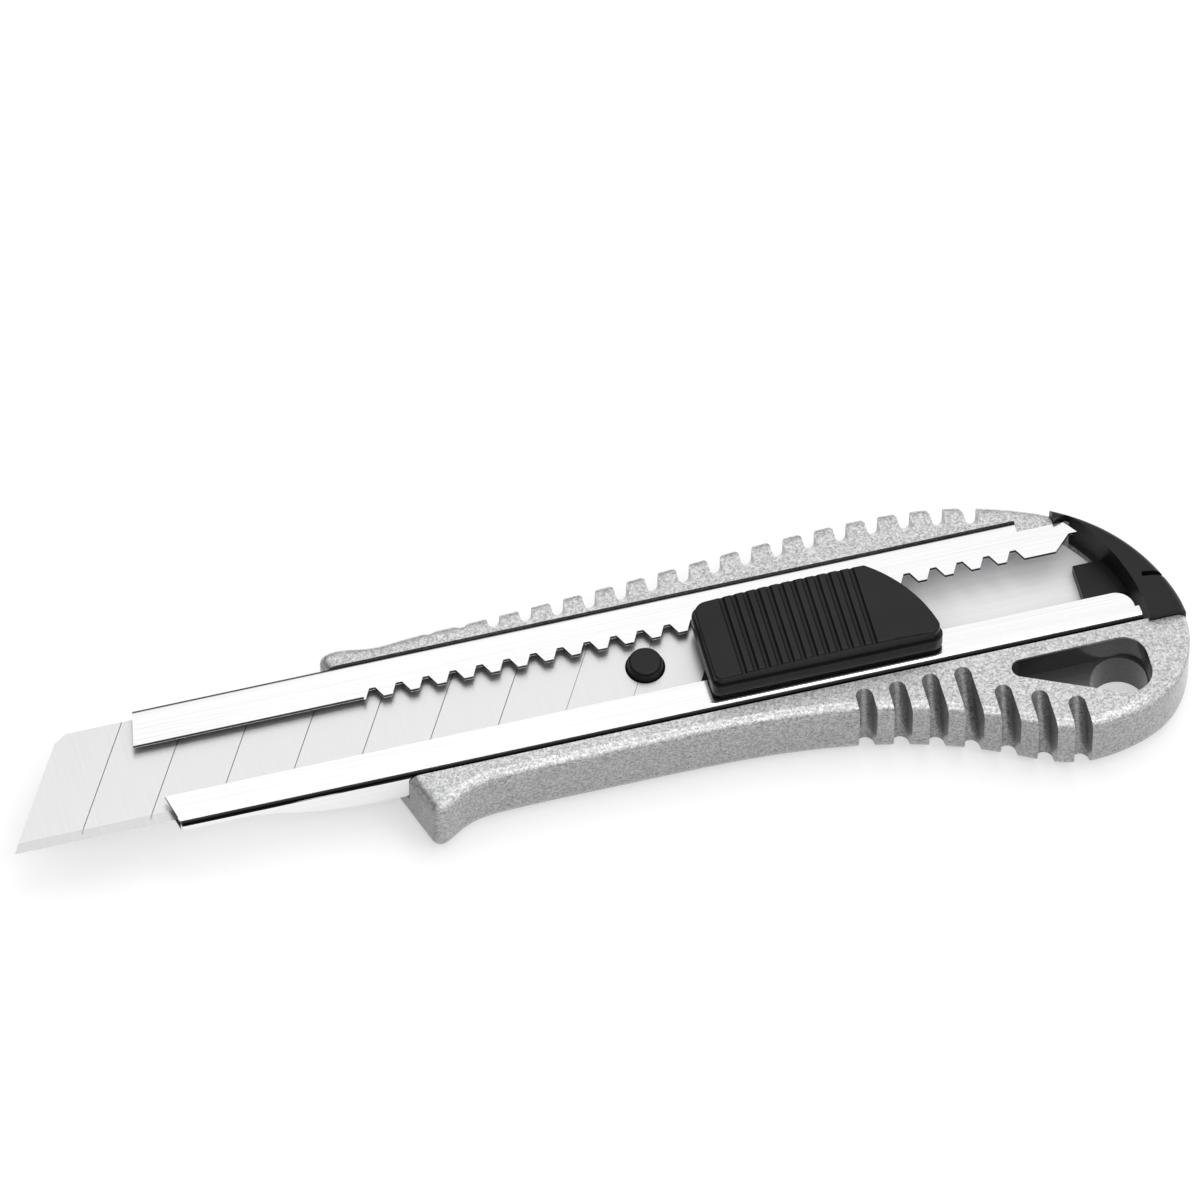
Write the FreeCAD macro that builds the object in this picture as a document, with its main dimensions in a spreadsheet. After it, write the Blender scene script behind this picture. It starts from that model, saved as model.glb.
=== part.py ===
import FreeCAD
import Part
import math
import os
from FreeCAD import Placement, Rotation, Vector

# Snap-off utility knife, 18 mm, with a die-cast zinc handle.
# Frame (mm): X runs from the blade tip to the rear of the handle, Y from the cutting edge to the
# back of the blade, Z up out of the open side of the steel blade channel. The origin is on the
# flat underside of the handle, below the middle of the channel.

SIZES = [
    ("handle_front", -62.3, "where the handle casting starts, measured from the origin"),
    ("handle_length", 123.0, "casting, front nub to rear"),
    ("handle_thick", 11.0, "casting, underside to its top face"),
    ("handle_top_round", 1.6, "rounding of the upper outer edge"),
    ("handle_foot_round", 2.7, "rounding of the lower outer edge"),
    ("channel_width", 21.0, "outside of the folded steel channel"),
    ("channel_sheet", 0.6, "steel sheet"),
    ("channel_floor", 5.2, "underside of the channel above the rest plane"),
    ("channel_height", 6.1, "underside to the top of the lips"),
    ("channel_overhang", 28.8, "channel ahead of the casting's front"),
    ("channel_bend", 1.2, "outer bend radius"),
    ("nose_height", 2.75, "channel height at its nose"),
    ("nose_length", 12.0, "straight shallow stretch behind the nose"),
    ("nose_ramp", 20.0, "length of the curved step down from the nose"),
    ("lip_low", 5.2, "width of the lip over the cutting edge"),
    ("lip_rack", 6.8, "width of the lip with the rack, to the tooth tips"),
    ("lip_plain", 6.3, "width of that lip ahead of the rack"),
    ("rack_start", 6.55, "first notch behind the casting's front"),
    ("rack_pitch", 3.96, "notch to notch"),
    ("rack_depth", 1.7, "notch depth"),
    ("rack_mouth", 2.7, "notch width at the tooth tips"),
    ("rack_root", 0.9, "notch width at its bottom"),
    ("blade_width", 18.0, "standard snap-off blade"),
    ("blade_thick", 0.5, "standard snap-off blade"),
    ("blade_edge", 99.4, "length of the cutting edge"),
    ("first_segment", 9.4, "tip to the first score line"),
    ("blade_angle", 60.0, "slant of the ends and of the score lines"),
    ("blade_back_gap", 0.3, "from the blade's back to the channel wall"),
    ("segment_pitch", 10.0, "score line to score line"),
    ("blade_hole", 5.8, "hole for the carrier's peg"),
    ("blade_hole_at", 94.6, "hole centre behind the tip"),
    ("blade_bevel", 1.5, "width of the ground edge"),
    ("blade_drop", 1.5, "top of the blade below the top of the lips"),
    ("carrier_gap", 0.3, "running clearance of the carrier in the channel"),
    ("carrier_length", 42.0, "front of the support plate to the heel"),
    ("peg_dia", 5.5, "peg that stands through the blade's hole"),
    ("slide_length", 34.2, "thumb slide"),
    ("slide_width", 14.3, "thumb slide"),
    ("slide_height", 5.2, "thumb slide above the lips at its crown"),
    ("slide_gap", 0.15, "thumb slide above the lips"),
    ("slide_rib_pitch", 1.75, "grip grooves of the thumb slide"),
    ("release_travel", 0.8, "play of the thumb slide on the carrier, each way"),
    ("spring_sheet", 0.4, "leaf spring strip"),
    ("cap_height", 12.4, "top of the end cap above the rest plane"),
    ("cap_gap", 0.8, "between the end cap and the channel's end"),
    ("fit_gap", 0.1, "clearance of fixed pieces that fit together"),
]
NOTCH_AT_REST = 13      # the notch that the spring's nose rests in, counted from the front
PEG_AHEAD = 12.5        # the peg's axis ahead of the spring's nose
CAP_REACH = 14.4        # the cap's front end ahead of the rear
CAP_LOW_OUT = 0.5       # the cap's lower end outside the channel
CAP_ARC_TOP = (12.3, 1.4)       # the cap's inner arc: ahead of the rear, inside the channel wall
CAP_ARC_MIDDLE = (7.1, -1.0)    # ahead of the rear, Y
CAP_ARC_LOW = 5.5               # ahead of the rear
SHOULDER_AHEAD = 19.9           # the casting's ledge over the rack lip: ahead of the rear
SHOULDER_DEPTH = 2.1            # and how far it reaches in over the channel

doc = FreeCAD.newDocument("utility_knife")
sheet = doc.addObject("Spreadsheet::Sheet", "Sizes")
for row, (alias, value, note) in enumerate(SIZES, start=1):
    sheet.set(f"A{row}", alias)
    sheet.set(f"B{row}", str(value))
    sheet.set(f"C{row}", note)
    sheet.setAlias(f"B{row}", alias)
doc.recompute()


def size(alias):
    return float(sheet.get(alias))


# ---- places worked out from the sizes ----
rear = size("handle_front") + size("handle_length")
half_channel = size("channel_width") / 2
channel_front = size("handle_front") - size("channel_overhang")
floor_low = size("channel_floor")
floor_top = floor_low + size("channel_sheet")
lip_top = floor_low + size("channel_height")
lip_under = lip_top - size("channel_sheet")
inner_wall = half_channel - size("channel_sheet")
edge_low_lip = -half_channel + size("lip_low")
edge_rack = half_channel - size("lip_rack")
edge_plain = half_channel - size("lip_plain")
first_notch = size("handle_front") + size("rack_start")
nose_x = first_notch + NOTCH_AT_REST * size("rack_pitch")
blade_top = lip_top - size("blade_drop")
blade_under = blade_top - size("blade_thick")
blade_back_y = inner_wall - size("blade_back_gap")
blade_edge_y = blade_back_y - size("blade_width")
peg_x = nose_x - PEG_AHEAD
blade_tip = peg_x - size("blade_hole_at")
blade_lean = size("blade_width") / math.tan(math.radians(size("blade_angle")))
cap_low_y = -half_channel - CAP_LOW_OUT
cap_arc = [                              # the cap's curved inner face, front to rear
    Vector(rear - CAP_ARC_TOP[0], half_channel - CAP_ARC_TOP[1], 0),
    Vector(rear - CAP_ARC_MIDDLE[0], CAP_ARC_MIDDLE[1], 0),
    Vector(rear - CAP_ARC_LOW, cap_low_y, 0),
]
shoulder_x = rear - SHOULDER_AHEAD
shoulder_y = half_channel - SHOULDER_DEPTH


# ---- helpers ----
def new_body(label):
    body = doc.addObject("PartDesign::Body", label)
    body.Label = label
    return body


def new_sketch(body, name, role="XY_Plane", offset=0.0):
    sketch = body.newObject("Sketcher::SketchObject", name)
    plane = [item for item in body.Origin.OriginFeatures if item.Role == role][0]
    sketch.AttachmentSupport = (plane, "")
    sketch.MapMode = "FlatFace"
    sketch.AttachmentOffset = Placement(Vector(0, 0, offset), Rotation())
    return sketch


def draw(sketch, points, arcs=None):
    """Closed outline through (x, y) points; arcs maps a point's index to the middle of the arc
    that runs from it to the next point."""
    arcs = arcs or {}
    corners = [Vector(x, y, 0) for x, y in points]
    for i, start in enumerate(corners):
        end = corners[(i + 1) % len(corners)]
        if i in arcs:
            middle = Vector(arcs[i][0], arcs[i][1], 0)
            sketch.addGeometry(Part.Arc(start, middle, end))
        else:
            sketch.addGeometry(Part.LineSegment(start, end))


def rectangle(sketch, left, right, low, high):
    draw(sketch, [(left, low), (right, low), (right, high), (left, high)])


def circle(sketch, x, y, radius):
    sketch.addGeometry(Part.Circle(Vector(x, y, 0), Vector(0, 0, 1), radius))


def feature(body, kind, sketch, length, symmetric=False):
    """Pad or pocket with a length in mm or an expression; checks that it changed the solid."""
    before = body.Shape.Volume if body.Tip else 0.0
    item = body.newObject("PartDesign::" + kind, sketch.Name + "_" + kind.lower())
    item.Profile = sketch
    item.SideType = "Symmetric" if symmetric else "One side"
    if isinstance(length, str):
        item.setExpression("Length", length)
    else:
        item.Length = length
    sketch.Visibility = False
    doc.recompute()
    change = item.Shape.Volume - before
    if (kind == "Pad" and change <= 0) or (kind == "Pocket" and change >= 0):
        raise RuntimeError(item.Name + " does not change its body")
    return item


def round_edges(body, base, radius, test):
    names = [f"Edge{i + 1}" for i, edge in enumerate(base.Shape.Edges) if test(edge)]
    item = body.newObject("PartDesign::Fillet", base.Name + "_round")
    item.Base = (base, names)
    if isinstance(radius, str):
        item.setExpression("Radius", radius)
    else:
        item.Radius = radius
    doc.recompute()
    return item


def at_height(height):
    return lambda edge: all(abs(v.Z - height) < 1e-4 for v in edge.Vertexes) and \
        abs(edge.BoundBox.ZMax - edge.BoundBox.ZMin) < 1e-3


# ---- handle casting ----
# Outline seen from above. Each point is (distance along X, cover outside the channel wall):
# the front ones from the casting's front, the rear ones back from its rear end.
OUTLINE_TOP_FRONT = [(0.2, 2.4), (3.0, 3.2), (8.3, 2.5), (12.3, 2.7), (20.3, 3.1)]
OUTLINE_TOP_REAR = [(72.7, 4.8), (44.7, 6.45), (30.7, 5.7), (19.7, 2.75), (11.2, -1.7)]
OUTLINE_TAIL = [(4.8, 2.2), (1.3, -4.9), (0.1, -11.8), (1.7, -17.8), (5.6, -22.7), (12.8, -25.8)]
OUTLINE_LOW_REAR = [(20.2, 15.7), (29.2, 11.95), (38.7, 7.95), (49.2, 5.25), (62.7, 3.6)]
OUTLINE_LOW_FRONT = [(40.0, 3.2), (22.0, 3.3), (16.0, 4.2), (12.3, 6.3), (10.4, 7.2)]


def outline_points():
    front = size("handle_front")
    points = [Vector(front + x, half_channel + c, 0) for x, c in OUTLINE_TOP_FRONT]
    points += [Vector(rear - x, half_channel + c, 0) for x, c in OUTLINE_TOP_REAR]
    points += [Vector(rear - x, y, 0) for x, y in OUTLINE_TAIL]
    points += [Vector(rear - x, -half_channel - c, 0) for x, c in OUTLINE_LOW_REAR]
    points += [Vector(front + x, -half_channel - c, 0) for x, c in OUTLINE_LOW_FRONT]
    return points


def outline_curve():
    curve = Part.BSplineCurve()
    curve.interpolate(outline_points())
    return curve


def cover_at(x, upper):
    """Y of the handle's outline at this X, on the rack side or on the cutting-edge side."""
    far = 60.0 if upper else -60.0
    line = Part.makeLine(Vector(x, 0, 0), Vector(x, far, 0))
    hit = outline_curve().toShape().distToShape(line)[1][0][0]
    return hit.y


def handle_blank(label, low, high, round_low):
    body = new_body(label)
    sketch = new_sketch(body, label + "_outline", offset=low)
    curve = outline_curve()
    sketch.addGeometry(curve)
    sketch.addGeometry(Part.LineSegment(curve.EndPoint, curve.StartPoint))
    blank = feature(body, "Pad", sketch, high - low)
    corners = round_edges(body, blank, 1.4, lambda edge: len(edge.Vertexes) == 2 and
                          abs(edge.Vertexes[0].Z - edge.Vertexes[1].Z) > 1)
    top = round_edges(body, corners, "Sizes.handle_top_round", at_height(high))
    if round_low:
        round_edges(body, top, "Sizes.handle_foot_round", at_height(low))
    return body


handle = handle_blank("handle_blank", 0.0, size("handle_thick"), True)
high = size("handle_thick")

# Rib valleys along the back of the handle, deeper towards the rear.
RIB_PITCH = 4.744
RIB_FIRST = 16.8          # first valley behind the casting's front
RIB_COUNT = 18
RIB_SHALLOWEST = 0.9
RIB_STEP = 0.22           # each valley deeper than the one ahead of it, up to the deepest
RIB_DEEPEST = 2.0
rib_sketch = new_sketch(handle, "rib_valleys", offset=high)
rib_valleys = []
for i in range(RIB_COUNT):
    centre = size("handle_front") + RIB_FIRST + i * RIB_PITCH
    wall = cover_at(centre, True)
    depth = min(RIB_DEEPEST, RIB_SHALLOWEST + RIB_STEP * i)
    rib_valleys.append((centre, wall - depth, depth))
    foot = 0.75
    mouth = foot + 0.25 * depth + 0.3
    draw(rib_sketch,
         [(centre + foot, wall - depth + 0.3), (centre + mouth, wall + 0.1),
          (centre + mouth, wall + 2), (centre - mouth, wall + 2),
          (centre - mouth, wall + 0.1), (centre - foot, wall - depth + 0.3)],
         {5: (centre, wall - depth)})
feature(handle, "Pocket", rib_sketch, size("handle_thick") + 1)

# Trough for the channel (its rear end runs on into the cap's seat), seat for the end cap,
# hidden cored pockets under the channel.
trough_gap = size("fit_gap")
trough = new_sketch(handle, "trough", offset=high)
trough_y = half_channel + trough_gap
draw(trough, [
    (size("handle_front") - 5, -trough_y), (rear - 5, -trough_y),
    (rear - 6.5, 0), (rear - 11, shoulder_y + trough_gap),
    (shoulder_x + trough_gap, shoulder_y + trough_gap),
    (shoulder_x + trough_gap, trough_y), (size("handle_front") - 5, trough_y)])
feature(handle, "Pocket", trough, high - floor_low + 0.05)


def cap_region(gap):
    """Plan of the end cap: outside its curved inner face, cut from the rear upper corner."""
    left = rear - CAP_REACH - gap
    return ([(left, shoulder_y + 0.2 - 8 * gap), (cap_arc[0].x - gap, cap_arc[0].y - gap),
             (cap_arc[2].x - gap, cap_low_y - gap),
             (rear + 10, cap_low_y - gap), (rear + 10, half_channel + 10), (left, half_channel + 10)],
            {1: (cap_arc[1].x - gap, cap_arc[1].y)})


seat = new_sketch(handle, "cap_seat", offset=high)
draw(seat, *cap_region(trough_gap))
feature(handle, "Pocket", seat, high - floor_low + 0.05)
cores = new_sketch(handle, "cores", offset=floor_low)
CORE_COUNT = 3
core_first = size("handle_front") + 14.0
core_step = (rear - 24.0 - core_first) / CORE_COUNT
for i in range(CORE_COUNT):
    start = core_first + i * core_step
    rectangle(cores, start, start + core_step - 8.0, -half_channel + 4, half_channel - 4)
feature(handle, "Pocket", cores, 2.2)

# Lanyard opening: a hull of three rounds, with a round hole through its rear half.
RECESS_DEPTH = 4.8
lanyard_small = (rear - 25.5, -half_channel - 3.85, 1.5)
lanyard_top = (rear - 11.0, -half_channel - 5.8, 3.6)
lanyard_low = (rear - 11.1, -half_channel - 8.1, 3.7)
lanyard_hole = (rear - 11.7, -half_channel - 6.6, 4.2)


def outer_tangent(a, b):
    """Touch points of the tangent that keeps both rounds on its left when going from a to b."""
    dx, dy = b[0] - a[0], b[1] - a[1]
    angle = math.atan2(dy, dx) - math.asin(max(-1, min(1, (a[2] - b[2]) / math.hypot(dx, dy)))) * -1
    nx, ny = math.sin(angle), -math.cos(angle)
    return (a[0] + a[2] * nx, a[1] + a[2] * ny), (b[0] + b[2] * nx, b[1] + b[2] * ny)


def round_middle(centre, start, end):
    """Middle of the counter-clockwise arc from start to end."""
    a0 = math.atan2(start[1] - centre[1], start[0] - centre[0])
    a1 = math.atan2(end[1] - centre[1], end[0] - centre[0])
    while a1 < a0:
        a1 += 2 * math.pi
    middle = (a0 + a1) / 2
    return (centre[0] + centre[2] * math.cos(middle), centre[1] + centre[2] * math.sin(middle))


def hull(rounds):
    points = []
    for i, current in enumerate(rounds):
        points += outer_tangent(current, rounds[(i + 1) % len(rounds)])
    arcs = {}
    for i in range(len(rounds)):
        start = points[2 * i + 1]
        end = points[(2 * i + 2) % len(points)]
        arcs[2 * i + 1] = round_middle(rounds[(i + 1) % len(rounds)], start, end)
    return points, arcs


recess = new_sketch(handle, "lanyard_recess", offset=high)
draw(recess, *hull([lanyard_small, lanyard_low, lanyard_top]))
feature(handle, "Pocket", recess, RECESS_DEPTH)
hole = new_sketch(handle, "lanyard_hole", offset=high)
circle(hole, *lanyard_hole)
feature(handle, "Pocket", hole, high + 1)

# Finger grooves below the tail and scoops over the rib valleys: slanting round cutters.
# Each groove is (distance ahead of the rear, Y of its upper end, how deep it is at the foot).
GROOVE_RADIUS = 1.25
SLOT_SPARE = 3.0         # how far a cutter runs past the faces it cuts
SLOT_REACH = 14.0        # how far it opens outwards
GROOVES = [(48.6, -12.1, 2.7), (43.7, -12.1, 2.7), (38.8, -12.0, 2.75), (34.0, -12.0, 2.8),
           (29.2, -16.4, 2.8), (24.4, -18.6, 2.8), (19.5, -20.9, 2.7)]


def slanting_cutter(name, x, y_top, y_foot, radius, reach, turn=-1):
    """Round-bottomed slot, open outwards (turn -1: towards -Y). Its innermost line runs from
    y_top at the top face to y_foot, reach below it."""
    slope = math.atan2(y_top - y_foot, reach)
    turned = Rotation(Vector(0, 0, 1), Vector(0, math.sin(slope), math.cos(slope)))
    axis_foot = Vector(x, y_foot + turn * radius / math.cos(slope), high - reach)
    start = axis_foot - turned.multVec(Vector(0, 0, SLOT_SPARE))
    height = reach / math.cos(slope) + 2 * SLOT_SPARE
    groove = doc.addObject("Part::Cylinder", name + "_floor")
    groove.Radius = radius
    groove.Height = height
    groove.Placement = Placement(start, turned)
    sides = doc.addObject("Part::Box", name + "_sides")
    sides.Length = 2 * radius
    sides.Width = SLOT_REACH
    sides.Height = height
    corner = Vector(-radius, -SLOT_REACH if turn < 0 else 0, 0)
    sides.Placement = Placement(start + turned.multVec(corner), turned)
    return [groove, sides]


SCOOP_RADIUS = 0.95
cutters = []
for i, (ahead, y_top, depth) in enumerate(GROOVES):
    x = rear - ahead
    y_foot = cover_at(x, False) + depth
    cutters += slanting_cutter(f"groove_{i + 1}", x, y_top, y_foot, GROOVE_RADIUS, high)
for i, (centre, y_valley, depth) in enumerate(rib_valleys):
    if depth > 1.2:
        scoop = min(2.4, 1.3 * depth)
        cutters += slanting_cutter(f"scoop_{i + 1}", centre, y_valley - scoop * 0.8, y_valley + 0.2,
                                   SCOOP_RADIUS, scoop, turn=1)
groove_tools = doc.addObject("Part::MultiFuse", "groove_tools")
groove_tools.Shapes = cutters
handle_casting = doc.addObject("Part::Cut", "handle_casting")
handle_casting.Base = handle
handle_casting.Tool = groove_tools
handle_casting.Label = "handle_casting"
doc.recompute()


# ---- blade channel ----
channel = new_body("blade_channel")
ramp_start = channel_front + size("nose_length")
ramp_end = ramp_start + size("nose_ramp")
nose_low = lip_top - size("nose_height")
channel_end = rear + 5


def channel_profile(name, rise, low_top, length_front, length_rear):
    """Side view: flat nose, curved step down, deep main stretch."""
    sketch = new_sketch(channel, name, "XZ_Plane")
    a = Vector(length_front, nose_low + rise, 0)
    b = Vector(ramp_start, nose_low + rise, 0)
    c = Vector(ramp_end, floor_low + rise, 0)
    d = Vector(length_rear, floor_low + rise, 0)
    e = Vector(length_rear, low_top, 0)
    f = Vector(length_front, low_top, 0)
    step = Part.BezierCurve()
    start_pull = Vector(size("nose_ramp") * 0.35, 0, 0)
    end_pull = Vector(size("nose_ramp") * 0.55, 0, 0)
    step.setPoles([b, b + start_pull, c - end_pull, c])
    for start, end in ((a, b), (c, d), (d, e), (e, f), (f, a)):
        sketch.addGeometry(Part.LineSegment(start, end))
    sketch.addGeometry(step.toBSpline())
    return sketch


outside = channel_profile("channel_side", 0.0, lip_top, channel_front - 1, channel_end)
pad = feature(channel, "Pad", outside, "Sizes.channel_width", symmetric=True)
rounded = round_edges(channel, pad, "Sizes.channel_bend", lambda edge: edge.BoundBox.XLength > 3 and
                      edge.BoundBox.YLength < 1e-4)
inside = channel_profile("channel_hollow", size("channel_sheet"), lip_under,
                         channel_front - 3, channel_end + 2)
feature(channel, "Pocket", inside, "Sizes.channel_width - 2 * Sizes.channel_sheet", symmetric=True)

RACK_SHORT = 15.4         # the rack stops this far ahead of the rear
rack_end = rear - RACK_SHORT
slot = new_sketch(channel, "slot", offset=lip_top)
draw(slot, [(channel_front - 5, edge_low_lip), (channel_end + 2, edge_low_lip),
            (channel_end + 2, edge_rack + 2.6), (rack_end + 2.6, edge_rack + 2.6), (rack_end, edge_rack),
            (first_notch - size("rack_mouth") / 2 - 0.2, edge_rack),
            (first_notch - size("rack_mouth") / 2 - 0.2, edge_plain), (channel_front - 5, edge_plain)])
feature(channel, "Pocket", slot, size("channel_sheet") + 0.2)
notch = new_sketch(channel, "notch", offset=lip_top)
draw(notch, [(first_notch - size("rack_mouth") / 2, edge_rack - 0.2),
             (first_notch + size("rack_mouth") / 2, edge_rack - 0.2),
             (first_notch + size("rack_mouth") / 2, edge_rack),
             (first_notch + size("rack_root") / 2, edge_rack + size("rack_depth")),
             (first_notch - size("rack_root") / 2, edge_rack + size("rack_depth")),
             (first_notch - size("rack_mouth") / 2, edge_rack)])
notch_cut = feature(channel, "Pocket", notch, size("channel_sheet") + 0.2)
rack_length = rack_end - size("rack_mouth") - first_notch
notch_count = int(rack_length // size("rack_pitch")) + 1
row = channel.newObject("PartDesign::LinearPattern", "rack")
row.Originals = [notch_cut]
row.Direction = (notch, ["H_Axis"])
row.Mode = "Spacing"
row.setExpression("Offset", "Sizes.rack_pitch")
row.Occurrences = notch_count
channel.Tip = row
doc.recompute()

# Slanted ends seen from above: a pointed front, a rear end that follows the cap's curve,
# and the rack lip stepped in behind the casting's ledge.
trim = new_sketch(channel, "front_trim", offset=lip_top + 1)
draw(trim, [(channel_front - 5, -half_channel - 1), (channel_front + 4.0, -half_channel - 1),
            (channel_front + 2.4, edge_low_lip), (channel_front, edge_plain),
            (channel_front + 1.5, half_channel + 1), (channel_front - 5, half_channel + 1)])
feature(channel, "Pocket", trim, size("channel_height") + 3)
tail_trim = new_sketch(channel, "tail_trim", offset=lip_top + 1)
gap = size("cap_gap")
draw(tail_trim, [(cap_arc[0].x - gap, shoulder_y), (cap_arc[2].x - gap, cap_low_y),
                 (channel_end + 3, cap_low_y), (channel_end + 3, half_channel + 1),
                 (shoulder_x, half_channel + 1), (shoulder_x, shoulder_y)],
     {0: (cap_arc[1].x - gap, cap_arc[1].y)})
feature(channel, "Pocket", tail_trim, size("channel_height") + 3)
LIP_CORNER = 3.0          # rounding of the low lip's rear corner, seen from above
lip_end = cap_arc[1].x - gap + 0.9
lip_corner = new_sketch(channel, "lip_corner", offset=lip_top + 0.5)
draw(lip_corner, [(lip_end - LIP_CORNER, edge_low_lip + 0.5), (lip_end - LIP_CORNER, edge_low_lip),
                  (lip_end, edge_low_lip - LIP_CORNER), (lip_end + 2, edge_low_lip - LIP_CORNER),
                  (lip_end + 2, edge_low_lip + 0.5)],
     {1: (lip_end - 0.8, edge_low_lip - 0.8)})
feature(channel, "Pocket", lip_corner, size("channel_sheet") + 0.6)

# ---- blade ----
blade = new_body("snap_off_blade")
section = new_sketch(blade, "blade_section", "YZ_Plane", offset=blade_tip)
bevel_y = blade_edge_y + size("blade_bevel")
mid = (blade_top + blade_under) / 2
draw(section, [(blade_edge_y, mid), (bevel_y, blade_under), (blade_back_y, blade_under),
               (blade_back_y, blade_top), (bevel_y, blade_top)])
feature(blade, "Pad", section, size("blade_edge") + blade_lean)
ends = new_sketch(blade, "blade_ends", offset=blade_top + 1)
blade_rear = blade_tip + size("blade_edge")
over = 2 * blade_lean / size("blade_width")
TIP_CORNER = 1.2
corner_low = blade_tip + blade_lean * (1 - TIP_CORNER / size("blade_width"))
corner_high = blade_tip + blade_lean + TIP_CORNER
draw(ends, [(blade_tip - over, blade_edge_y - 2), (corner_low, blade_back_y - TIP_CORNER),
            (corner_high, blade_back_y), (corner_high, blade_back_y + 2),
            (blade_tip - over, blade_back_y + 2)])
rear_top = blade_rear + blade_lean + over
draw(ends, [(blade_rear - over, blade_edge_y - 2), (rear_top, blade_back_y + 2),
            (rear_top + 5, blade_back_y + 2), (rear_top + 5, blade_edge_y - 2)])
feature(blade, "Pocket", ends, 3)
blade_hole = new_sketch(blade, "blade_hole", offset=blade_top + 1)
HOLE_OFF_MIDDLE = 0.5     # the hole sits this far towards the cutting edge
peg_y = (blade_edge_y + blade_back_y) / 2 - HOLE_OFF_MIDDLE
circle(blade_hole, peg_x, peg_y, size("blade_hole") / 2)
feature(blade, "Pocket", blade_hole, 3)
SCORE_WIDTH = 0.22
SCORE_DEPTH = 0.12
SCORE_COUNT = 7
score = new_sketch(blade, "score", offset=blade_top)
score_x = blade_tip + size("first_segment")
draw(score, [(score_x - over, blade_edge_y - 2), (score_x - over + SCORE_WIDTH, blade_edge_y - 2),
             (score_x + blade_lean + over + SCORE_WIDTH, blade_back_y + 2),
             (score_x + blade_lean + over, blade_back_y + 2)])
score_cut = feature(blade, "Pocket", score, SCORE_DEPTH)
scores = blade.newObject("PartDesign::LinearPattern", "scores")
scores.Originals = [score_cut]
scores.Direction = (score, ["H_Axis"])
scores.Mode = "Spacing"
scores.setExpression("Offset", "Sizes.segment_pitch")
scores.Occurrences = SCORE_COUNT
blade.Tip = scores
doc.recompute()

# ---- blade carrier ----
carrier = new_body("blade_carrier")
PLATE_AHEAD = 6.6         # support plate ahead of the peg
PLATE_LENGTH = 10.5
PLATE_THICK = 1.6
carrier_front = peg_x - PLATE_AHEAD
carrier_rear = carrier_front + size("carrier_length")
plate_end = carrier_front + PLATE_LENGTH
plate_low = blade_under - PLATE_THICK
side = new_sketch(carrier, "carrier_side", "XZ_Plane")
seat_z = blade_under - 0.02
runner_z = floor_top + size("carrier_gap")
draw(side, [(carrier_front, plate_low), (plate_end, plate_low), (plate_end + 2, runner_z),
            (carrier_rear, runner_z), (carrier_rear, seat_z), (carrier_front, seat_z)])
carrier_half = inner_wall - size("carrier_gap")
feature(carrier, "Pad", side, 2 * carrier_half, symmetric=True)
heel = new_sketch(carrier, "carrier_heel", offset=seat_z)
slope = blade_lean / size("blade_width")
lean_low = blade_rear + 0.3 + slope * (-carrier_half - blade_edge_y)
lean_high = blade_rear + 0.3 + slope * (carrier_half - blade_edge_y)
draw(heel, [(lean_low, -carrier_half), (carrier_rear, -carrier_half), (carrier_rear, carrier_half),
            (lean_high, carrier_half)])
heel_top = lip_under - 0.2
feature(carrier, "Pad", heel, heel_top - seat_z)
# rear corner cut back, so that it passes the casting's ledge
CORNER_CUT = 6.4
corner = new_sketch(carrier, "carrier_corner", offset=heel_top + 0.5)
rectangle(corner, carrier_rear - CORNER_CUT, carrier_rear + 1, shoulder_y - 0.3, half_channel)
feature(carrier, "Pocket", corner, heel_top + 0.5 - (runner_z - 0.5))
peg = new_sketch(carrier, "peg", offset=seat_z)
circle(peg, peg_x, peg_y, size("peg_dia") / 2)
PEG_PROUD = 1.6           # peg above the blade
peg_top = blade_top + PEG_PROUD
peg_pad = feature(carrier, "Pad", peg, peg_top - seat_z)
peg_pad.TaperAngle = -11
doc.recompute()
round_edges(carrier, peg_pad, 0.4, at_height(peg_top))
# post that holds the leaf spring
POST_BEHIND = 17.2        # spring post behind the nose
POST_LENGTH = 4.0
post_x0 = nose_x + POST_BEHIND
post_x1 = post_x0 + POST_LENGTH
spring_y = edge_rack - 2.0
spring_low = heel_top + 0.1
spring_high = lip_top - 0.05
post = new_sketch(carrier, "spring_post", offset=heel_top)
rectangle(post, post_x0, post_x1, spring_y - 1.3, edge_rack - 0.5)
feature(carrier, "Pad", post, lip_top - 0.1 - heel_top)
slit = new_sketch(carrier, "spring_slit", offset=lip_top + 0.5)
half_slit = size("spring_sheet") / 2 + 0.03
rectangle(slit, post_x0 - 1, post_x1 - 0.6, spring_y - half_slit, spring_y + half_slit)
feature(carrier, "Pocket", slit, lip_top + 0.5 - (spring_low - 0.05))
# well for the thumb slide's foot, wider below so that the foot's head cannot lift out
FOOT_BEHIND = 6.2         # the slide's foot behind the nose
FOOT_LENGTH = 8.0
FOOT_WIDTH = 3.4
foot_x0 = nose_x + FOOT_BEHIND
foot_x1 = foot_x0 + FOOT_LENGTH
play = size("release_travel") + 0.2
foot_y0 = edge_low_lip + 0.9
foot_y1 = foot_y0 + FOOT_WIDTH
head_out = 1.4
well = new_sketch(carrier, "foot_well", offset=heel_top + 0.5)
rectangle(well, foot_x0 - play, foot_x1 + play, foot_y0 - 0.15, foot_y1 + 0.15)
feature(carrier, "Pocket", well, heel_top + 0.5 - (floor_top + 1.6))
undercut = new_sketch(carrier, "well_undercut", "XZ_Plane", offset=-(foot_y0 + foot_y1) / 2)
rectangle(undercut, foot_x0 - play, foot_x1 + play, floor_top + 1.6, floor_top + 3.2)
feature(carrier, "Pocket", undercut, foot_y1 - foot_y0 + 2 * head_out + 0.3, symmetric=True)

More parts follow.
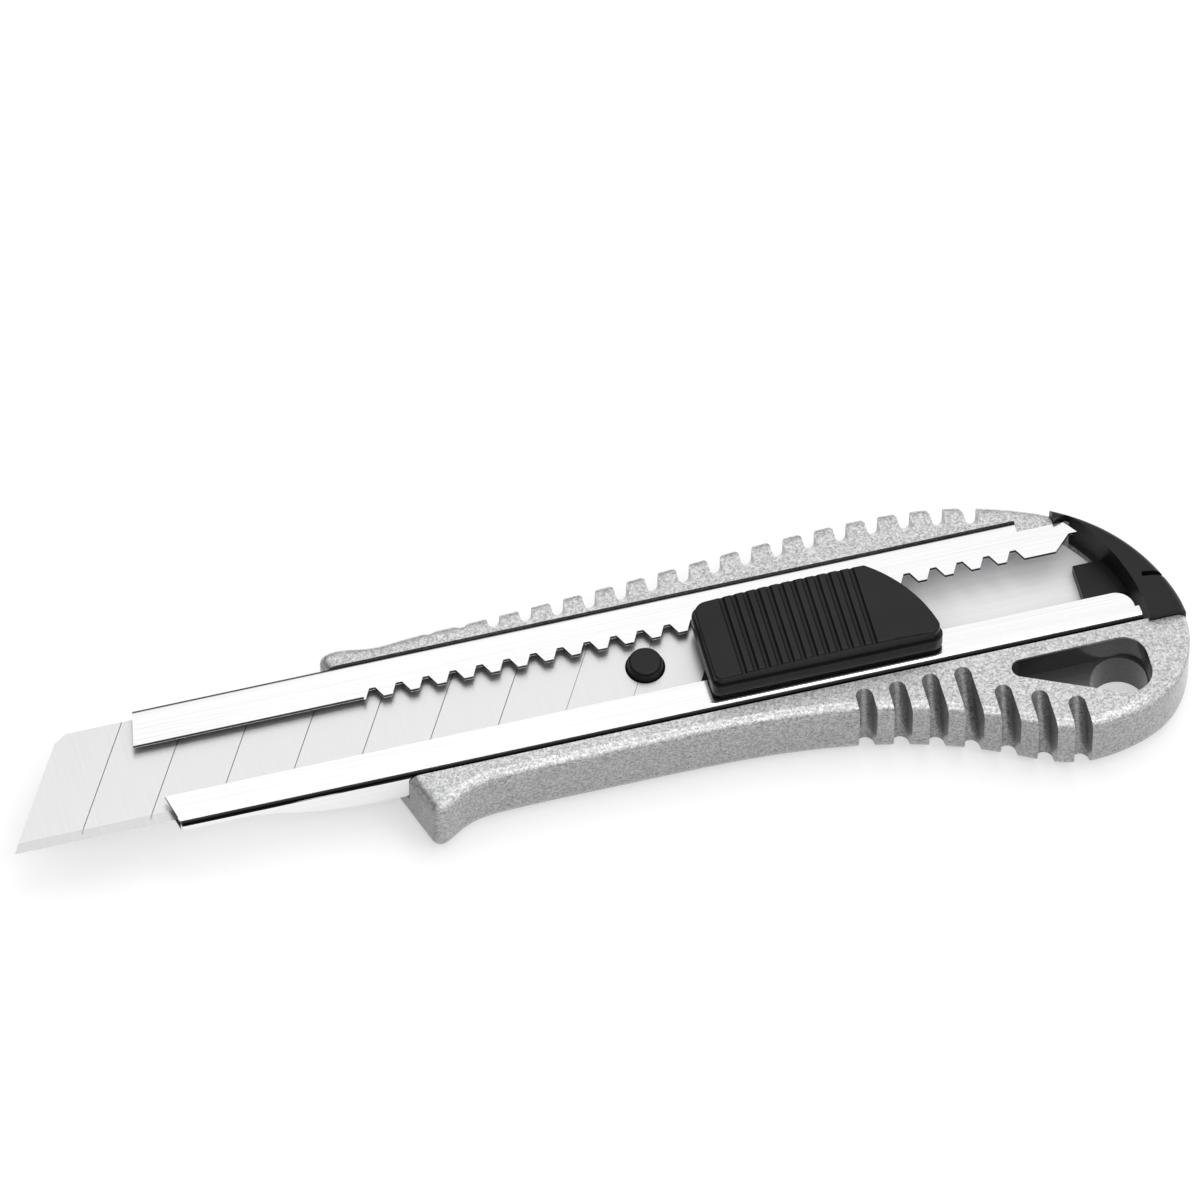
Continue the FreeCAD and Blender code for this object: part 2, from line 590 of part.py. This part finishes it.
# ---- thumb slide ----
thumb = new_body("thumb_slide")
slide_low = lip_top + size("slide_gap")
slide_top = slide_low + size("slide_height")
SLIDE_AHEAD = 4.7         # the slide's front ahead of the spring's nose
slide_x0 = nose_x - SLIDE_AHEAD
slide_x1 = slide_x0 + size("slide_length")
slide_y0 = -half_channel + 1.6
slide_y1 = slide_y0 + size("slide_width")


def slide_outline(inset):
    """Plan of the thumb slide: square front, rear end curved back towards the low side."""
    x0, x1 = slide_x0 + inset, slide_x1 - inset
    y0, y1 = slide_y0 + inset, slide_y1 - inset
    front_round, rear_round = 1.8, 1.0
    curve_start = x1 - 8.0
    points = [(x0 + rear_round, y0), (x1 - 1.8, y0), (x1, y0 + 1.6), (curve_start, y1),
              (x0 + front_round, y1), (x0, y1 - front_round), (x0, y0 + rear_round)]
    arcs = {1: (x1 - 0.45, y0 + 0.45), 2: (x1 - 2.6, (y0 + y1) / 2 + 1.1),
            4: (x0 + 0.3 * front_round, y1 - 0.3 * front_round), 6: (x0 + 0.3, y0 + 0.3)}
    return points, arcs


TIERS = [(0.45, 0.0, 0.6), (0.0, 0.6, 2.7), (0.35, 2.7, None)]     # inset, bottom, top above slide_low
for i, (inset, start, stop) in enumerate(TIERS):
    tier = new_sketch(thumb, f"tier_{i + 1}", offset=slide_low + start)
    draw(tier, *slide_outline(inset))
    feature(thumb, "Pad", tier, (stop or size("slide_height")) - start)
CROWN_RISE = 0.8
crown_x = slide_x0 + 0.55 * size("slide_length")
crown_radius = (size("slide_length") / 2) ** 2 / (2 * CROWN_RISE)


def crown_z(x):
    return slide_top - (x - crown_x) ** 2 / (2 * crown_radius)


crown = new_sketch(thumb, "crown", "XZ_Plane", offset=0)
a, b = slide_x0 - 1, slide_x1 + 1
draw(crown, [(a, crown_z(a)), (b, crown_z(b)), (b, slide_top + 2), (a, slide_top + 2)],
     {0: (crown_x, crown_z(crown_x))})
crown_cut = feature(thumb, "Pocket", crown, 60, symmetric=True)
soft = round_edges(thumb, crown_cut, 0.35, lambda edge: edge.CenterOfMass.z > slide_top - 1.5 and
                   edge.BoundBox.ZMin > slide_top - 1.5)
RIB_GROOVES = 12
rib_first = slide_x0 + 4.6
grip = new_sketch(thumb, "grip_grooves", "XZ_Plane", offset=0)
for i in range(RIB_GROOVES):
    x = rib_first + i * size("slide_rib_pitch")
    z = crown_z(x)
    draw(grip, [(x - 0.6, z + 0.5), (x - 0.45, z), (x + 0.45, z), (x + 0.6, z + 0.5)], {1: (x, z - 0.42)})
feature(thumb, "Pocket", grip, 60, symmetric=True)
neck_low = heel_top + 0.2
neck = new_sketch(thumb, "neck", offset=neck_low)
neck_y0 = edge_low_lip + 0.3
neck_y1 = foot_y1 + 0.5
neck_x0 = slide_x0 + 0.6
draw(neck, [(neck_x0, neck_y0), (post_x0 - play - 0.3, neck_y0), (post_x0 - play - 0.3, neck_y1),
            (neck_x0 + 1.3, neck_y1), (neck_x0 + 1.3, edge_rack - 0.3), (neck_x0, edge_rack - 0.3)])
feature(thumb, "Pad", neck, slide_low + 0.3 - neck_low)
foot = new_sketch(thumb, "foot", offset=floor_top + 2.6)
rectangle(foot, foot_x0, foot_x1, foot_y0, foot_y1)
feature(thumb, "Pad", foot, neck_low + 0.1 - (floor_top + 2.6))
head = new_sketch(thumb, "foot_head", "XZ_Plane", offset=-(foot_y0 + foot_y1) / 2)
rectangle(head, foot_x0, foot_x1, floor_top + 1.8, floor_top + 3.0)
feature(thumb, "Pad", head, foot_y1 - foot_y0 + 2 * head_out, symmetric=True)

# ---- lock spring: one bent strip with a V nose that rests in a rack notch ----
def strip_outline(path, thickness):
    """Outline of a strip of even thickness along a path of straight runs."""
    half = thickness / 2
    left, right = [], []
    for i, point in enumerate(path):
        before = path[max(i - 1, 0)]
        after = path[min(i + 1, len(path) - 1)]
        d0 = Vector(point[0] - before[0], point[1] - before[1], 0)
        d1 = Vector(after[0] - point[0], after[1] - point[1], 0)
        d0 = d1 if d0.Length == 0 else d0
        d1 = d0 if d1.Length == 0 else d1
        n0 = Vector(-d0.y, d0.x, 0).normalize()
        n1 = Vector(-d1.y, d1.x, 0).normalize()
        mitre = n0 + n1
        mitre = mitre * (2 * half / mitre.dot(mitre))
        left.append((point[0] + mitre.x, point[1] + mitre.y))
        right.append((point[0] - mitre.x, point[1] - mitre.y))
    return left + right[::-1]


spring = new_body("lock_spring")
spring_sketch = new_sketch(spring, "spring_strip", offset=spring_low)
nose_tip = edge_rack + size("rack_depth") - 0.65
draw(spring_sketch, strip_outline([
    (post_x1 - 0.8, spring_y), (nose_x + 3.2, spring_y),
    (nose_x + 1.5, edge_rack - 0.7), (nose_x + 0.35, nose_tip),
    (nose_x - 0.35, nose_tip), (nose_x - 1.3, edge_rack - 0.7)], size("spring_sheet")))
feature(spring, "Pad", spring_sketch, spring_high - spring_low)

# ---- end cap: the rear upper corner of the handle, with a tongue in the channel ----
cap_body = handle_blank("cap_blank", floor_low + 0.05, size("cap_height"), False)
region_body = new_body("cap_region_body")
region = new_sketch(region_body, "cap_plan", offset=0)
draw(region, *cap_region(0.0))
feature(region_body, "Pad", region, 20)
cap_shell = doc.addObject("Part::Common", "cap_shell")
cap_shell.Base = cap_body
cap_shell.Tool = region_body
slit_tool = doc.addObject("Part::Box", "snap_slit")
slit_tool.Length = 8
slit_tool.Width = 0.8
slit_tool.Height = 5
slit_tool.Placement = Placement(Vector(rear - 4.8, -4.2, size("cap_height") - 4.0),
                                Rotation(Vector(0, 0, 1), -9))
cap_slit = doc.addObject("Part::Cut", "cap_slit")
cap_slit.Base = cap_shell
cap_slit.Tool = slit_tool
TONGUE_REACH = 13.0       # the tongue's front ahead of the rear
TONGUE_WIDTH = 6.0
TONGUE_THICK = 1.8
tongue = doc.addObject("Part::Box", "cap_tongue")
tongue_x0 = rear - TONGUE_REACH
tongue.Length = rear - 6.0 - tongue_x0
tongue.Width = TONGUE_WIDTH
tongue.Height = TONGUE_THICK
tongue.Placement = Placement(Vector(tongue_x0, -TONGUE_WIDTH / 2, floor_top + 0.1), Rotation())
end_cap = doc.addObject("Part::Fuse", "end_cap")
end_cap.Base = cap_slit
end_cap.Tool = tongue
end_cap.Label = "end_cap"
doc.recompute()

# ---- check and write ----
SUB_PARTS = [handle_casting, channel, blade, carrier, thumb, spring, end_cap]
for item in doc.Objects:
    if "Invalid" in item.State or "Error" in item.State:
        raise RuntimeError(f"{item.Name}: {item.State}")
os.makedirs("parts", exist_ok=True)
for item in SUB_PARTS:
    shape = item.Shape
    if shape.isNull() or not shape.isValid() or len(shape.Solids) != 1:
        raise RuntimeError(f"{item.Label}: bad shape, {len(shape.Solids)} solids")
    shape.exportStep(f"parts/{item.Label}.step")
    box = shape.BoundBox
    print(f"{item.Label:16s} {shape.Volume:10.1f} mm3  X {box.XMin:7.2f} {box.XMax:7.2f}"
          f"  Y {box.YMin:7.2f} {box.YMax:7.2f}  Z {box.ZMin:6.2f} {box.ZMax:6.2f}")
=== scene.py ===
# %% [markdown]
# # A snap-off utility knife, part by part
#
# This lesson dresses a heavy-duty utility knife. The exact shapes and sizes come from a CAD model,
# so the work here is the other half of a good picture: finishes, light and camera.
# The knife has seven pieces: a die-cast handle, a folded steel channel, an 18 mm snap-off blade,
# a plastic blade carrier, a thumb slide, a lock spring and an end cap.

import math

import bpy
from mathutils import Matrix, Vector


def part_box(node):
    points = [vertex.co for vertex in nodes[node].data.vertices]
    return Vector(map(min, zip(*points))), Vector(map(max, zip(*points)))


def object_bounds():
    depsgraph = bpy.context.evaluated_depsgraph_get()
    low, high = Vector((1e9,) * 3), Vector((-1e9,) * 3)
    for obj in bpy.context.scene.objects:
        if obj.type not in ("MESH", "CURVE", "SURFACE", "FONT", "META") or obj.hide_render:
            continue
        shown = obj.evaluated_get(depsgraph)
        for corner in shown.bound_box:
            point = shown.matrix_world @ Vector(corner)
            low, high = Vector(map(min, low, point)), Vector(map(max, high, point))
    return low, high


MM = 0.001
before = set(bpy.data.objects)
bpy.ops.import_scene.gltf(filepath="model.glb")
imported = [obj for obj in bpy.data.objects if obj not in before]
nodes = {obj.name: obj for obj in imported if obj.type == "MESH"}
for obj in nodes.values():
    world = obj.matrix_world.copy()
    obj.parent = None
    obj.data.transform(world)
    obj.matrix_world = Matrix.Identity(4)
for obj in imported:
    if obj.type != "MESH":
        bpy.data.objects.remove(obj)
cad_low, cad_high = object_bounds()
print("CAD nodes:", sorted(nodes))
print("CAD box in mm:", [round(v / MM, 1) for v in (*cad_low, *cad_high)])

# %% [markdown]
# ## The camera comes first
#
# Everything else is judged through the camera, so it is placed before any finish is made.
# A product shot is taken from far away with a long lens, which keeps the knife from looking
# stretched at its near end. The camera stands high over the cutting side and looks down on the
# open channel. Three axes describe it: to the right, up, and back towards the camera.

# %% Place the camera
CAMERA_TURN = math.radians(14.485)
CAMERA_HEIGHT = math.radians(55.766)
CAMERA_DISTANCE = 1775.4 * MM
CAMERA_TARGET = Vector((-20.142, 12.930, 9.8)) * MM
FRAME_AT_TARGET = 172.56 * MM
SENSOR = 36.0

turn_cos, turn_sin = math.cos(CAMERA_TURN), math.sin(CAMERA_TURN)
high_cos, high_sin = math.cos(CAMERA_HEIGHT), math.sin(CAMERA_HEIGHT)
to_right = Vector((turn_cos, -turn_sin, 0))
to_up = Vector((turn_sin * high_sin, turn_cos * high_sin, high_cos))
to_camera = Vector((-turn_sin * high_cos, -turn_cos * high_cos, high_sin))

camera_data = bpy.data.cameras.new("studio_camera")
camera_data.sensor_width = SENSOR
camera_data.lens = SENSOR * CAMERA_DISTANCE / FRAME_AT_TARGET
camera_data.clip_start = 0.05
camera_data.clip_end = 20.0
camera = bpy.data.objects.new("studio_camera", camera_data)
bpy.context.scene.collection.objects.link(camera)
turned = Matrix((to_right, to_up, to_camera)).transposed().to_4x4()
camera.matrix_world = Matrix.Translation(CAMERA_TARGET + to_camera * CAMERA_DISTANCE) @ turned
bpy.context.scene.camera = camera
print("lens in mm:", round(camera_data.lens, 1))

# %% [markdown]
# ## Floor and light
#
# The knife lies on a plain white sheet, lit a little from below as on a light table. That keeps the
# shadow pale and the edge of the knife clean. Polished steel has no colour of its own: it shows what
# stands round it. So the sky is bright overhead and falls off to almost black near the horizon,
# which draws thin dark lines in the polished steel; along each fold the dark band is a painted
# reflection. Two soft panels add the bright touches on rounded edges: one nearly overhead, one in
# front, above the cutting side. On the casting those edges also carry a painted highlight. All of
# this is chosen to give the right greys; it isn't a record of how any studio was lit.

# %% Make the floor
FLOOR_HALF = 3.0
FLOOR_LEVEL = -0.2 * MM
corners = [(-1, -1), (1, -1), (1, 1), (-1, 1)]
floor_mesh = bpy.data.meshes.new("floor")
floor_mesh.from_pydata(
    [(x * FLOOR_HALF, y * FLOOR_HALF, FLOOR_LEVEL) for x, y in corners], [], [(0, 1, 2, 3)]
)
floor = bpy.data.objects.new("floor", floor_mesh)
bpy.context.scene.collection.objects.link(floor)
print("floor side in m:", 2 * FLOOR_HALF)

# %% [markdown]
# ## Small helpers for finishes
#
# A finish is a chain of nodes. Wiring each node by hand takes three lines, so one helper makes a
# node, fills its inputs and wires them. The others name what is wanted: a grey, a ramp of greys, a
# yes-or-no mask, or one colour laid over another where a mask says so.

# %% A helper that wires shader nodes
def shader_nodes(name):
    material = bpy.data.materials.new(name)
    material.use_nodes = True
    tree = material.node_tree
    shader = tree.nodes["Principled BSDF"]

    def add(kind, inputs=(), **settings):
        node = tree.nodes.new(kind)
        for key, value in settings.items():
            setattr(node, key, value)
        for key, value in dict(inputs).items():
            if isinstance(value, bpy.types.NodeSocket):
                tree.links.new(value, node.inputs[key])
            else:
                node.inputs[key].default_value = value
        return node

    def link(source, socket_name):
        tree.links.new(source, shader.inputs[socket_name])

    return material, shader, add, link


print("shader helper ready")

# %% Greys and ramps
def grey(value, blue=0.0):
    return (value, value, value + blue, 1)


def ramp(add, factor, stops):
    """A colour ramp; stops are (position, colour), the two ends first."""
    node = add("ShaderNodeValToRGB", {"Fac": factor})
    elements = node.color_ramp.elements
    for index, (position, colour) in enumerate(stops[:2]):
        elements[index].position = position
        elements[index].color = colour
    for position, colour in stops[2:]:
        elements.new(position).color = colour
    return node.outputs["Color"]


def spread(add, value, low, high, **limits):
    """Map a value, 0 to 1 unless limits say otherwise, to the stretch from low to high."""
    inputs = {"Value": value, "To Min": low, "To Max": high}
    inputs.update({key.replace("_", " ").title(): limit for key, limit in limits.items()})
    return add("ShaderNodeMapRange", inputs).outputs["Result"]


print("a mid grey:", grey(0.5))

# %% Masks and layers
def maths(add, operation, *values):
    return add("ShaderNodeMath", dict(enumerate(values)), operation=operation).outputs[0]


def all_of(add, *masks):
    result = masks[0]
    for mask in masks[1:]:
        result = maths(add, "MULTIPLY", result, mask)
    return result


def layer(add, factor, under, over, blend="MIX"):
    node = add(
        "ShaderNodeMix",
        {"Factor": factor, "A": under, "B": over},
        data_type="RGBA",
        blend_type=blend,
    )
    return node.outputs["Result"]


def where(add, output="Object"):
    """X, Y and Z of the place on the piece, or of the way its surface faces."""
    vector = add("ShaderNodeTexCoord").outputs[output]
    return add("ShaderNodeSeparateXYZ", {"Vector": vector}).outputs


def noise(add, scale, detail, place=None):
    place = place or add("ShaderNodeTexCoord").outputs["Object"]
    node = add("ShaderNodeTexNoise", {"Vector": place, "Scale": scale, "Detail": detail})
    return node.outputs["Fac"]


def relief(add, height, strength, depth):
    node = add("ShaderNodeBump", {"Height": height, "Strength": strength, "Distance": depth})
    return node.outputs["Normal"]


print("mask helpers ready")

# %% Paint the floor
PAPER_GREYS = (0.56, 0.58)
GLOW_FROM_BELOW = 0.45

paper, paper_shader, add, link = shader_nodes("white_paper")
link(layer(add, noise(add, 300.0, 3.0), *(grey(value) for value in PAPER_GREYS)), "Base Color")
paper_shader.inputs["Roughness"].default_value = 0.9
paper_shader.inputs["Specular IOR Level"].default_value = 0.1
paper_shader.inputs["Emission Color"].default_value = (1, 1, 1, 1)
paper_shader.inputs["Emission Strength"].default_value = GLOW_FROM_BELOW
floor.data.materials.append(paper)
print("floor painted, greys:", PAPER_GREYS)

# %% Hang the light panels
KNIFE_MIDDLE = (cad_low + cad_high) / 2


def light_panel(name, place, side, power):
    data = bpy.data.lights.new(name, "AREA")
    data.shape = "RECTANGLE"
    data.size, data.size_y = side
    data.energy = power
    panel = bpy.data.objects.new(name, data)
    panel.location = KNIFE_MIDDLE + Vector(place)
    panel.rotation_mode = "QUATERNION"
    panel.rotation_quaternion = Vector(place).to_track_quat("Z", "Y")
    bpy.context.scene.collection.objects.link(panel)


light_panel("overhead_panel", (0.35, 0.25, 1.6), (1.2, 0.5), 4.0)
light_panel("front_panel", (0.15, -0.75, 1.25), (1.6, 0.4), 4.5)

# %% Shade the sky
SKY_STRENGTH = 1.10
SKY_TOP = (0.34, 0.06, 0.94)
SKY_GREYS = [(0.28, 0.02), (0.54, 1.0)]

world = bpy.data.worlds.new("studio_sky")
world.use_nodes = True
bpy.context.scene.world = world
sky = world.node_tree
sky_place = sky.nodes.new("ShaderNodeTexCoord")
sky_lean = sky.nodes.new("ShaderNodeVectorMath")
sky_lean.operation = "DOT_PRODUCT"
sky_lean.inputs[1].default_value = SKY_TOP
sky_ramp = sky.nodes.new("ShaderNodeValToRGB")
for stop, (position, value) in enumerate(SKY_GREYS):
    sky_ramp.color_ramp.elements[stop].position = position
    sky_ramp.color_ramp.elements[stop].color = grey(value)
sky.links.new(sky_place.outputs["Generated"], sky_lean.inputs[0])
sky.links.new(sky_lean.outputs["Value"], sky_ramp.inputs["Fac"])
sky.links.new(sky_ramp.outputs["Color"], sky.nodes["Background"].inputs["Color"])
sky.nodes["Background"].inputs["Strength"].default_value = SKY_STRENGTH
bpy.context.scene.view_settings.view_transform = "Standard"
print("sky strength:", SKY_STRENGTH)

# %% [markdown]
# ## Silver paint on the casting
#
# The handle is taken to be die-cast zinc under a silver paint, as is usual for such knives. A paint
# of this kind carries metal flakes at slightly different angles, so one flake flashes while its
# neighbour stays grey. Voronoi cells make good flakes: each cell gets one random value, which
# changes its colour, its gloss and the tilt of its surface. A noise laid over them keeps the cells
# from looking like tiles.
#
# Two shortcuts follow, and neither is a property of the paint. The colour is made brighter on
# rounded edges and darker on side walls and on faces that look forward, by the way the surface
# faces. That stands in for the contrast of a harder studio light, and it stays put when the light
# moves. A mask also darkens the lanyard recess, which the soft light here would leave too pale. The
# recess is a wedge: narrow at the front, wide round the hole. Light alone would be the truer way.

# %% Where the lanyard recess is
RECESS_FRONT = 35.2 * MM
RECESS_REAR = 49.6 * MM
RECESS_END = 54.2 * MM
RECESS_MARGIN = 2.0 * MM
RECESS_MIDDLE_Y = (-14.4 * MM, -17.4 * MM)
RECESS_HALF_WIDTH = (1.8 * MM, 5.2 * MM)
RECESS_TOP = 10.6 * MM


def lanyard_recess(add, spot):
    along = spread(add, spot["X"], 0.0, 1.0, from_min=RECESS_FRONT, from_max=RECESS_REAR)
    middle = spread(add, along, *RECESS_MIDDLE_Y)
    half = spread(add, along, *RECESS_HALF_WIDTH)
    off = maths(add, "ABSOLUTE", maths(add, "SUBTRACT", spot["Y"], middle))
    return all_of(
        add,
        maths(add, "LESS_THAN", off, half),
        maths(add, "GREATER_THAN", spot["X"], RECESS_FRONT - RECESS_MARGIN),
        maths(add, "LESS_THAN", spot["X"], RECESS_END),
        maths(add, "LESS_THAN", spot["Z"], RECESS_TOP),
    )


print("recess length in mm:", round((RECESS_END - RECESS_FRONT) / MM, 1))

# %% Silver paint
FACING_UP = [(0.0, grey(0.50)), (1.0, grey(0.74)), (0.35, grey(0.58)), (0.66, grey(1.0)),
             (0.88, grey(0.78))]
FACING_FORWARD = (0.55, 1.0)


def silver_paint():
    material, shader, add, link = shader_nodes("silver_paint")
    place = add("ShaderNodeTexCoord").outputs["Object"]
    flake = add("ShaderNodeTexVoronoi", {"Vector": place, "Scale": 4400.0})
    flake_value = add("ShaderNodeSeparateColor", {"Color": flake.outputs["Color"]})
    both = add(
        "ShaderNodeMix",
        {"Factor": 0.5, "A": flake_value.outputs[0], "B": noise(add, 1900.0, 3.0, place)},
    ).outputs["Result"]
    tint = ramp(add, both, [(0.2, grey(0.36, 0.005)), (0.8, grey(0.90, 0.01))])
    facing = where(add, "Normal")
    tint = layer(add, 1.0, tint, ramp(add, facing["Z"], FACING_UP), "MULTIPLY")
    forward = spread(add, facing["X"], *FACING_FORWARD, from_min=-1.0, from_max=-0.3)
    tint = layer(add, 1.0, tint, forward, "MULTIPLY")
    tint = layer(add, lanyard_recess(add, where(add)), tint, grey(0.05))
    link(tint, "Base Color")
    link(spread(add, flake_value.outputs[1], 0.30, 0.52), "Roughness")
    link(relief(add, both, 0.22, 0.05 * MM), "Normal")
    shader.inputs["Metallic"].default_value = 0.6
    shader.inputs["Coat Weight"].default_value = 0.6
    shader.inputs["Coat Roughness"].default_value = 0.16
    return material


silver = silver_paint()
print("made:", silver.name)

# %% [markdown]
# ## Polished steel for the channel
#
# The channel is folded from bright steel sheet. Rolling leaves faint lines along the strip, so the
# noise is stretched along the knife: a small scale along X and a large one across it.
#
# Three places are made with masks, and all three are shortcuts. The sheared edges of the lips and
# the teeth look almost black, so painted shade colours them dark. Each fold shows a narrow dark
# reflection; here it is a painted reflection, so it doesn't travel with the viewer as a real one
# would. The inside of the floor is the same bright sheet as the rest, but a perfect mirror there
# shows only the dark underside of the lips. A dull finish that is hardly metal gives back its
# brightness, though not the soft blobs of a slightly wavy sheet. The masks use the place on the
# channel and, for two of them, the way the surface faces. The hidden spring is guessed, and gets
# the strip without masks.

# %% Where the sheet is cut, folded and dull
channel_low, channel_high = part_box("blade_channel")
LIP_UNDERSIDE = channel_high[2] - 0.55 * MM
LIP_OUTSIDE = channel_high[1] - 1.5 * MM
FLOOR_INSIDE = channel_low[2] + 1.1 * MM
FOLD_OUTSIDE = channel_high[1] - 0.9 * MM
FOLD_FROM = (channel_high[2] - 0.95 * MM, channel_high[2] - 0.65 * MM)
FOLD_TO = channel_high[2] - 0.14 * MM
UPRIGHT = 0.3
LEVEL = 0.5


# Mask for painted shade on the sheared edges and a painted reflection along the folds.
def painted_shade_and_reflection(add, spot, facing, line):
    side = maths(add, "ABSOLUTE", spot["Y"])
    # Painted shade: the upright cut edges of the lips and teeth are coloured nearly black.
    sheared_edge_shade = all_of(
        add,
        maths(add, "LESS_THAN", maths(add, "ABSOLUTE", facing["Z"]), UPRIGHT),
        maths(add, "GREATER_THAN", spot["Z"], LIP_UNDERSIDE),
        maths(add, "LESS_THAN", side, LIP_OUTSIDE),
    )
    # Painted reflection: a dark band along the outside of each fold.
    fold_start = spread(add, line, *FOLD_FROM, from_min=0.35, from_max=0.65)
    folded = all_of(
        add,
        maths(add, "GREATER_THAN", side, FOLD_OUTSIDE),
        maths(add, "GREATER_THAN", spot["Z"], fold_start),
        maths(add, "LESS_THAN", spot["Z"], FOLD_TO),
    )
    return maths(add, "MAXIMUM", sheared_edge_shade, folded)


def dull_floor(add, spot, facing):
    low = maths(add, "LESS_THAN", spot["Z"], FLOOR_INSIDE)
    return all_of(add, low, maths(add, "GREATER_THAN", facing["Z"], LEVEL))


print("underside of the lips in mm:", round(LIP_UNDERSIDE / MM, 2))

# %% Polished steel
def streaks(add, scale_along, scale_across):
    place = add("ShaderNodeTexCoord").outputs["Object"]
    scale = (scale_along, scale_across, scale_across)
    stretched = add("ShaderNodeMapping", {"Vector": place, "Scale": scale})
    return noise(add, 1.0, 4.0, stretched.outputs["Vector"])


def polished_steel(name, folded):
    material, shader, add, link = shader_nodes(name)
    line = streaks(add, 40.0, 5200.0)
    tint = ramp(add, line, [(0.0, grey(0.76, 0.01)), (1.0, grey(0.92, 0.01))])
    gloss = spread(add, line, 0.10, 0.20)
    link(relief(add, line, 0.04, 0.01 * MM), "Normal")
    if folded:
        spot, facing = where(add), where(add, "Normal")
        # Nearly black colour for painted shade on the cut edges and a painted reflection on the
        # folds.
        tint = layer(add, painted_shade_and_reflection(add, spot, facing, line), tint, grey(0.02))
        dull = dull_floor(add, spot, facing)
        gloss = add("ShaderNodeMix", {"Factor": dull, "A": gloss, "B": 0.5}).outputs["Result"]
        link(spread(add, dull, 1.0, 0.05), "Metallic")
    else:
        shader.inputs["Metallic"].default_value = 1.0
    link(tint, "Base Color")
    link(gloss, "Roughness")
    return material


strip = polished_steel("bright_strip", False)
sheet = polished_steel("folded_steel", True)
print("made:", strip.name, "and", sheet.name)

# %% [markdown]
# ## Ground steel for the blade
#
# The blade is carbon steel, ground flat. Its grinding marks run across the strip, and it is much
# less shiny than the channel, so it looks almost white under a soft light. The score lines, where a
# used piece snaps off, are too shallow to show in this light, so their colour is darkened to make
# them read. They lean at 60 degrees and repeat every 10 mm, so one formula draws them all: slide
# each point along the lean down to the cutting edge, then fold the distance back and forth over
# half a segment. Where that comes to almost nothing, there is a line. The ground edge is darkened
# too, because the front panel would otherwise make it the brightest part of the blade.

# %% Where the score lines and the bevel are
SEGMENT = 10.0 * MM
FIRST_SEGMENT = 9.4 * MM
SCORE_HALF = 0.055 * MM
SCORE_LEAN = 1 / math.tan(math.radians(60))
BEVEL_WIDTH = 1.5 * MM
blade_low, blade_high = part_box("snap_off_blade")
BEVEL_TOP = blade_low[1] + BEVEL_WIDTH
FIRST_SCORE = blade_low[0] + FIRST_SEGMENT - SCORE_LEAN * blade_low[1]


def score_lines(add, spot):
    level = maths(add, "ADD", spot["X"], maths(add, "MULTIPLY", spot["Y"], -SCORE_LEAN))
    from_score = maths(add, "ADD", level, -FIRST_SCORE)
    distance = maths(add, "PINGPONG", from_score, SEGMENT / 2)
    return maths(add, "LESS_THAN", distance, SCORE_HALF)


print("blade length in mm:", round((blade_high[0] - blade_low[0]) / MM, 1))

# %% Ground steel
def ground_steel():
    material, shader, add, link = shader_nodes("ground_steel")
    line = streaks(add, 6000.0, 90.0)
    spot = where(add)
    tint = ramp(add, line, [(0.0, grey(0.56)), (1.0, grey(0.64))])
    tint = layer(add, score_lines(add, spot), tint, grey(0.17))
    tint = layer(add, maths(add, "LESS_THAN", spot["Y"], BEVEL_TOP), tint, grey(0.36))
    link(tint, "Base Color")
    link(spread(add, line, 0.26, 0.40), "Roughness")
    link(relief(add, line, 0.08, 0.01 * MM), "Normal")
    shader.inputs["Metallic"].default_value = 0.9
    return material


blade_steel = ground_steel()
print("made:", blade_steel.name)

# %% [markdown]
# ## Black plastic
#
# The slide, the carrier and the end cap are black plastic, most likely moulded. Moulds are often
# given a fine grain, and a low bump breaks the reflection into a soft satin in the same way. A slow
# noise lets the black drift a little from place to place. The carrier is mostly hidden, so its
# finish is a guess.

# %% Moulded plastic
BLACKS = (0.005, 0.012)
SATIN = (0.30, 0.46)


def black_plastic():
    material, shader, add, link = shader_nodes("moulded_black")
    grain = noise(add, 4200.0, 3.0)
    drift = noise(add, 160.0, 2.0)
    link(ramp(add, drift, [(0.0, grey(BLACKS[0])), (1.0, grey(BLACKS[1]))]), "Base Color")
    link(spread(add, grain, *SATIN), "Roughness")
    link(relief(add, grain, 0.15, 0.02 * MM), "Normal")
    shader.inputs["Specular IOR Level"].default_value = 0.22
    return material


plastic = black_plastic()
print("made:", plastic.name)

# %% [markdown]
# ## Give each piece its finish
#
# The CAD pieces keep their exact meshes. Only the material in each material slot is changed.

# %% Dress the pieces
finishes = {
    "handle_casting": silver,
    "blade_channel": sheet,
    "snap_off_blade": blade_steel,
    "lock_spring": strip,
    "blade_carrier": plastic,
    "thumb_slide": plastic,
    "end_cap": plastic,
}
for node_name, finish in finishes.items():
    for material_slot in nodes[node_name].material_slots:
        material_slot.material = finish
    print(node_name, "->", finish.name)
